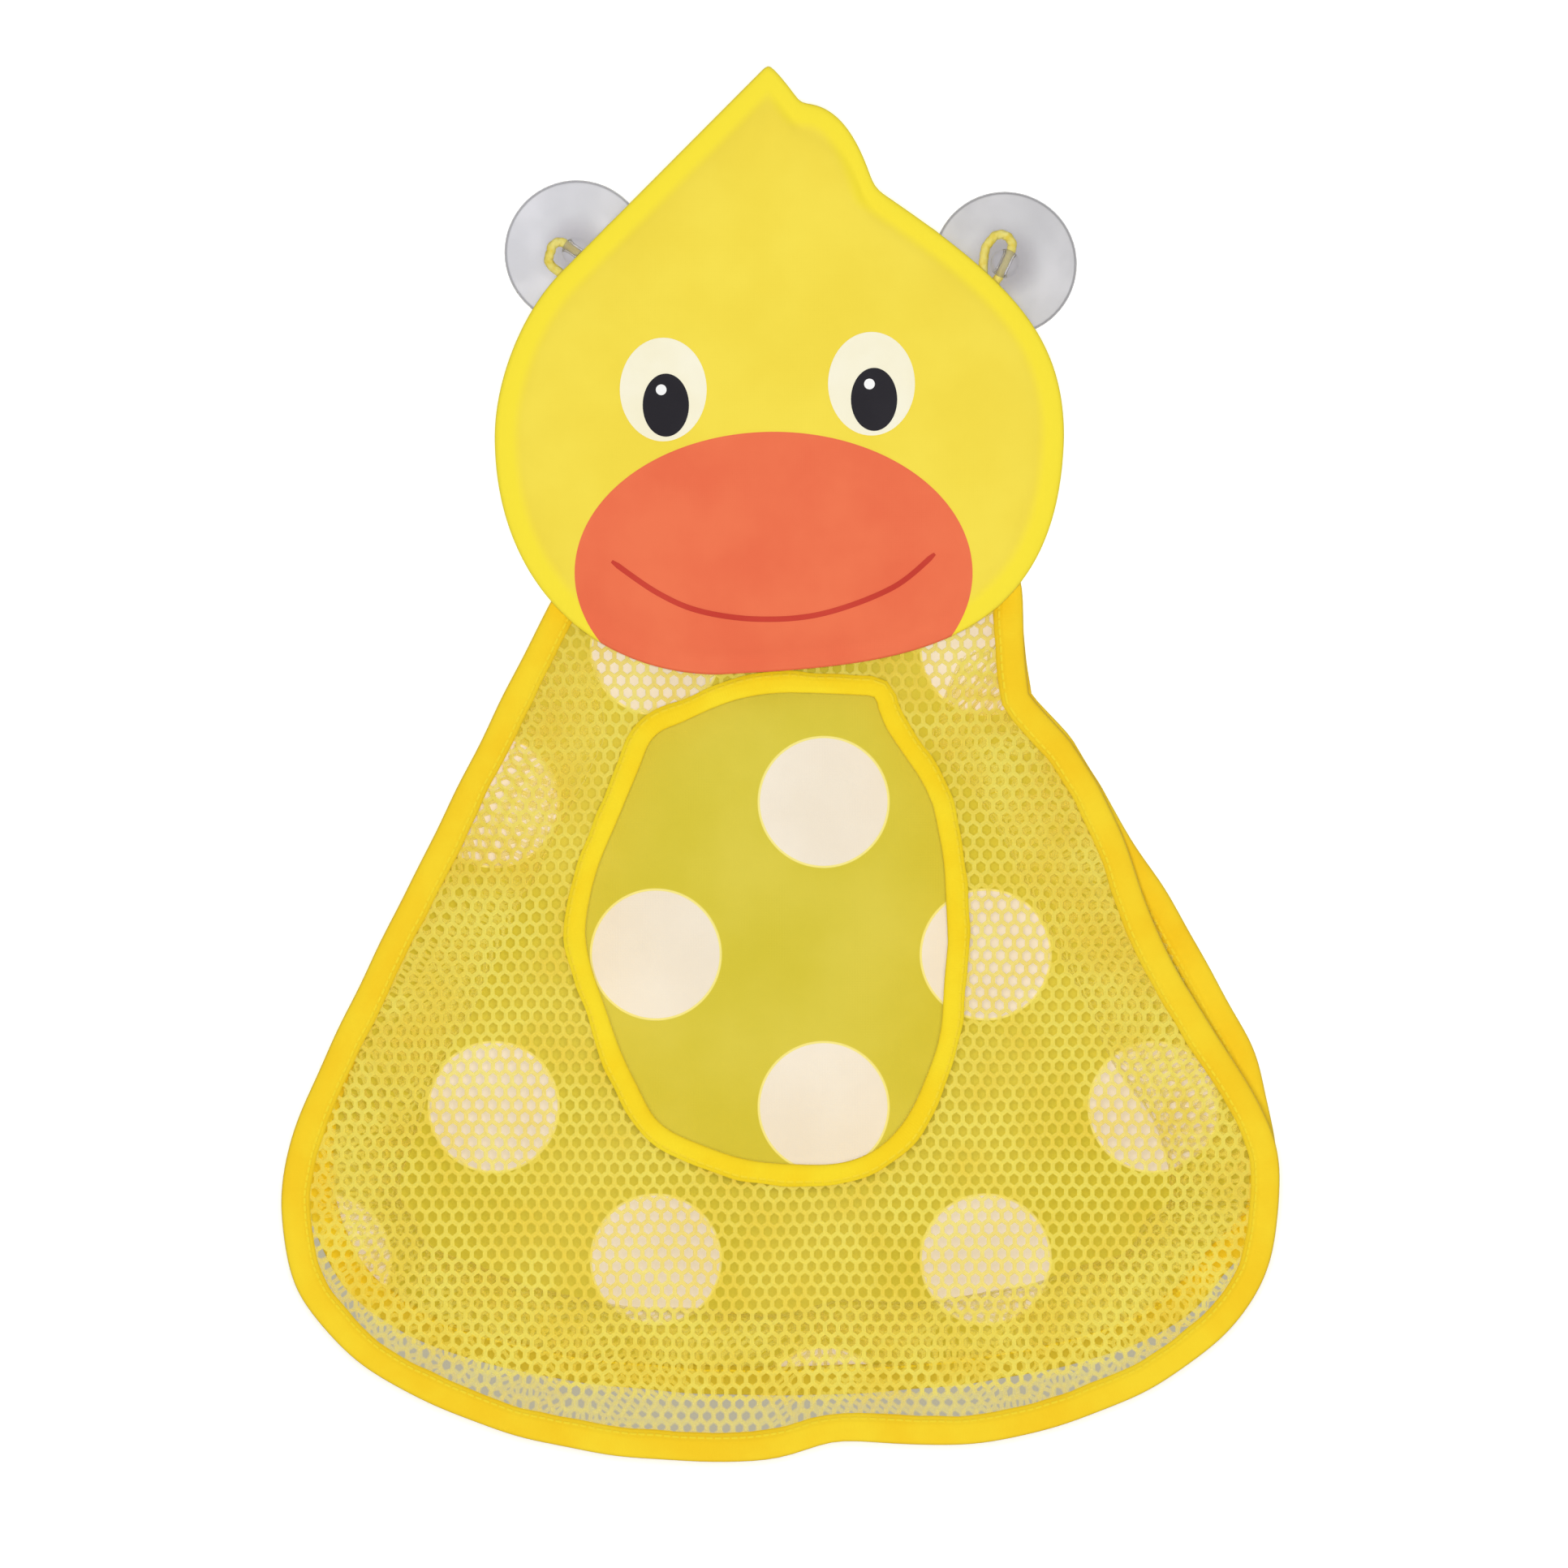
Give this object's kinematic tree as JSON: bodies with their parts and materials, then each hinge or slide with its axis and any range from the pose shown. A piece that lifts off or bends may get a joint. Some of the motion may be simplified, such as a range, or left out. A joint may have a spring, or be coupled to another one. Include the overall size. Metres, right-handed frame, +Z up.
{
  "type": "bath toy organizer",
  "caption": "Duck-shaped bath toy organizer that hangs on a wall by suction cups: a padded printed head above a gusseted net pocket with a bound oval opening.",
  "frame": {"origin": "on the wall plane, level with the suction cups, on the middle line of the bag", "axes": "+Z up, +X to the viewer's right, +Y into the wall; the front faces -Y"},
  "size_m": [0.344, 0.0616, 0.4802],
  "materials": {
    "head_cloth": "smooth printed woven cloth",
    "foam": "foam sheet",
    "beak_print": "printed",
    "eye_print": "printed",
    "pupil_print": "printed",
    "dotted_nylon": "dotted woven nylon",
    "net": "knitted polyester mesh",
    "tape": "folded binding tape",
    "elastic": "fold-over elastic",
    "cord": "twisted cord",
    "clear_pvc": "clear soft PVC"
  },
  "bodies": {
    "organizer": {"head_front_panel": "head_cloth", "head_foam_core": "foam", "head_back_panel": "head_cloth", "beak_print": "beak_print", "left_eye_print": "eye_print", "right_eye_print": "eye_print", "left_pupil_print": "pupil_print", "right_pupil_print": "pupil_print", "left_loop_tab": "tape", "right_loop_tab": "tape", "neck_seam": "tape", "back_panel": "dotted_nylon", "back_binding": "tape", "left_gusset": "net", "right_gusset": "net", "bottom_gusset": "net"},
    "pocket_front": {"front_net": "net", "front_binding": "tape", "opening_binding": "elastic"},
    "left_loop": {"left_cord_loop": "cord"},
    "left_cup": {"left_suction_cup": "clear_pvc"},
    "right_loop": {"right_cord_loop": "cord"},
    "right_cup": {"right_suction_cup": "clear_pvc"}
  },
  "joints": [
    {"name": "pocket_close", "type": "hinge", "parent": "organizer", "child": "pocket_front", "pos_m": [0, -0.01325, -0.1075], "axis": [1, 0, 0], "range_deg": [0, 7.5], "stiffness_Nm_per_rad": 0.2, "deforming": ["left_gusset", "right_gusset", "bottom_gusset"]},
    {"name": "left_loop_swing", "type": "hinge", "parent": "organizer", "child": "left_loop", "pos_m": [-0.065, -0.0207, -0.0137], "axis": [1, 0, 0], "range_deg": [-40, 3], "deforming": ["left_cord_loop"]},
    {"name": "left_cup_tilt", "type": "hinge", "parent": "left_loop", "child": "left_cup", "pos_m": [-0.07, -0.01525, 0.002], "axis": [0.8192, 0, -0.5736], "range_deg": [-15, 35]},
    {"name": "right_loop_swing", "type": "hinge", "parent": "organizer", "child": "right_loop", "pos_m": [0.073, -0.0207, -0.0177], "axis": [1, 0, 0], "range_deg": [-40, 3], "deforming": ["right_cord_loop"]},
    {"name": "right_cup_tilt", "type": "hinge", "parent": "right_loop", "child": "right_cup", "pos_m": [0.078, -0.01525, -0.002], "axis": [0.4226, 0, 0.9063], "range_deg": [-25, 25]}
  ]
}
